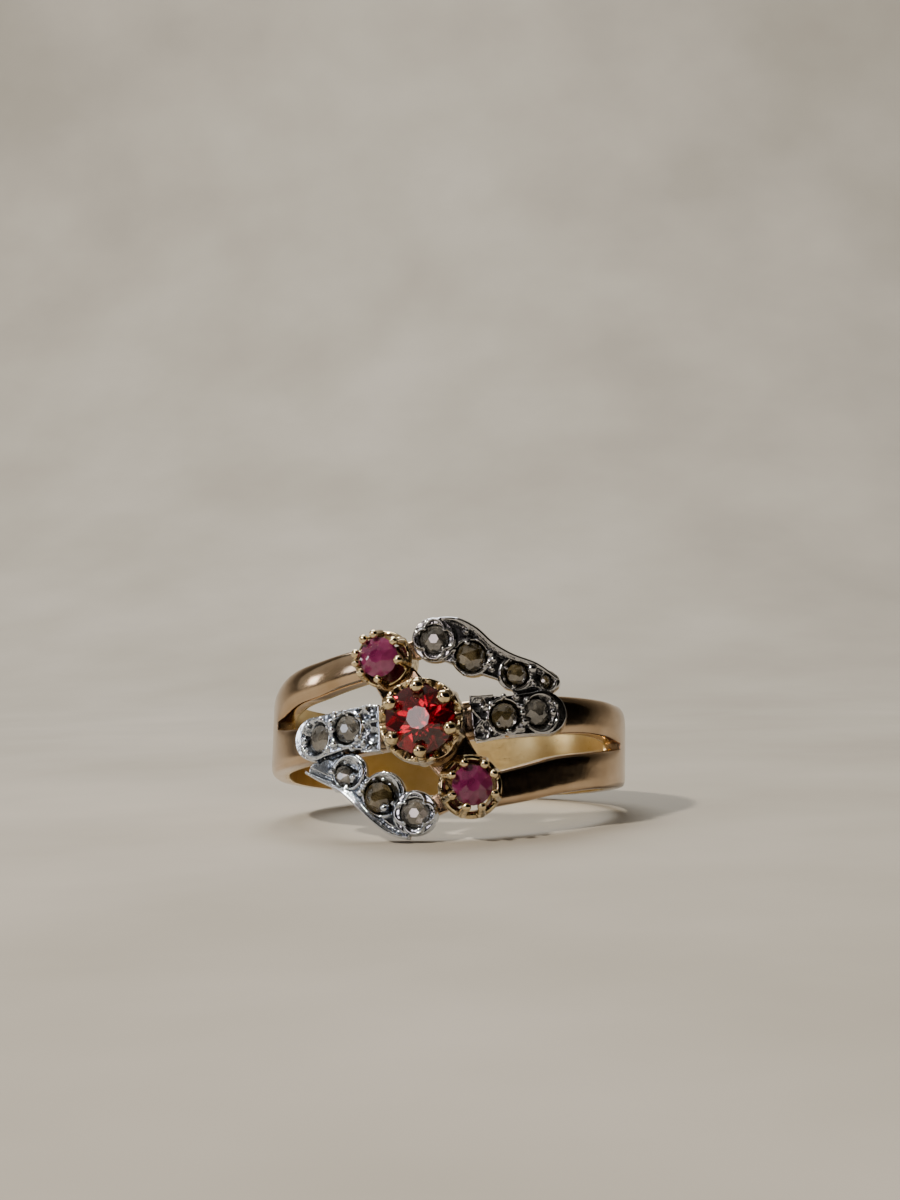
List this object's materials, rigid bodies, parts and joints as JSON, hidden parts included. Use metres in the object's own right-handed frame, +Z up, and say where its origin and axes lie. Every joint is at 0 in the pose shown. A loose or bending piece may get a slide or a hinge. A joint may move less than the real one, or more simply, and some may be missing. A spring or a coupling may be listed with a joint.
{
  "type": "ruby bypass ring",
  "caption": "Finger ring with a split gold band, claw set round rubies and silver sprays of rose cut diamonds that curl past each other, lying on its side.",
  "frame": {"origin": "on the surface that the ring lies on, under the middle of its outline seen from above", "axes": "-Y towards the head of the ring, +X to the right of it as seen from the front, +Z up"},
  "size_m": [0.0194, 0.0227, 0.011],
  "materials": {
    "gold": "worn polish, rose to yellow gold, darkened in the corners",
    "silver_dark": "old silver, oxidised dark in its cuts",
    "silver_bright": "old silver, bright on its edges",
    "ruby": "polished, clear deep red",
    "pink_ruby": "polished, cloudy purple pink",
    "diamond": "polished rose cuts, grey to brown, closed at the back"
  },
  "bodies": {
    "root": {"gold_frame": "gold", "right_spray": "silver_dark", "left_spray": "silver_bright", "centre_ruby": "ruby", "upper_ruby": "pink_ruby", "lower_ruby": "pink_ruby", "right_row_stone_1": "diamond", "right_row_stone_2": "diamond", "right_leaf_stone_1": "diamond", "right_leaf_stone_2": "diamond", "right_leaf_stone_3": "diamond", "right_leaf_stone_4": "diamond", "left_row_stone_1": "diamond", "left_row_stone_2": "diamond", "left_leaf_stone_1": "diamond", "left_leaf_stone_2": "diamond", "left_leaf_stone_3": "diamond"}
  },
  "joints": []
}
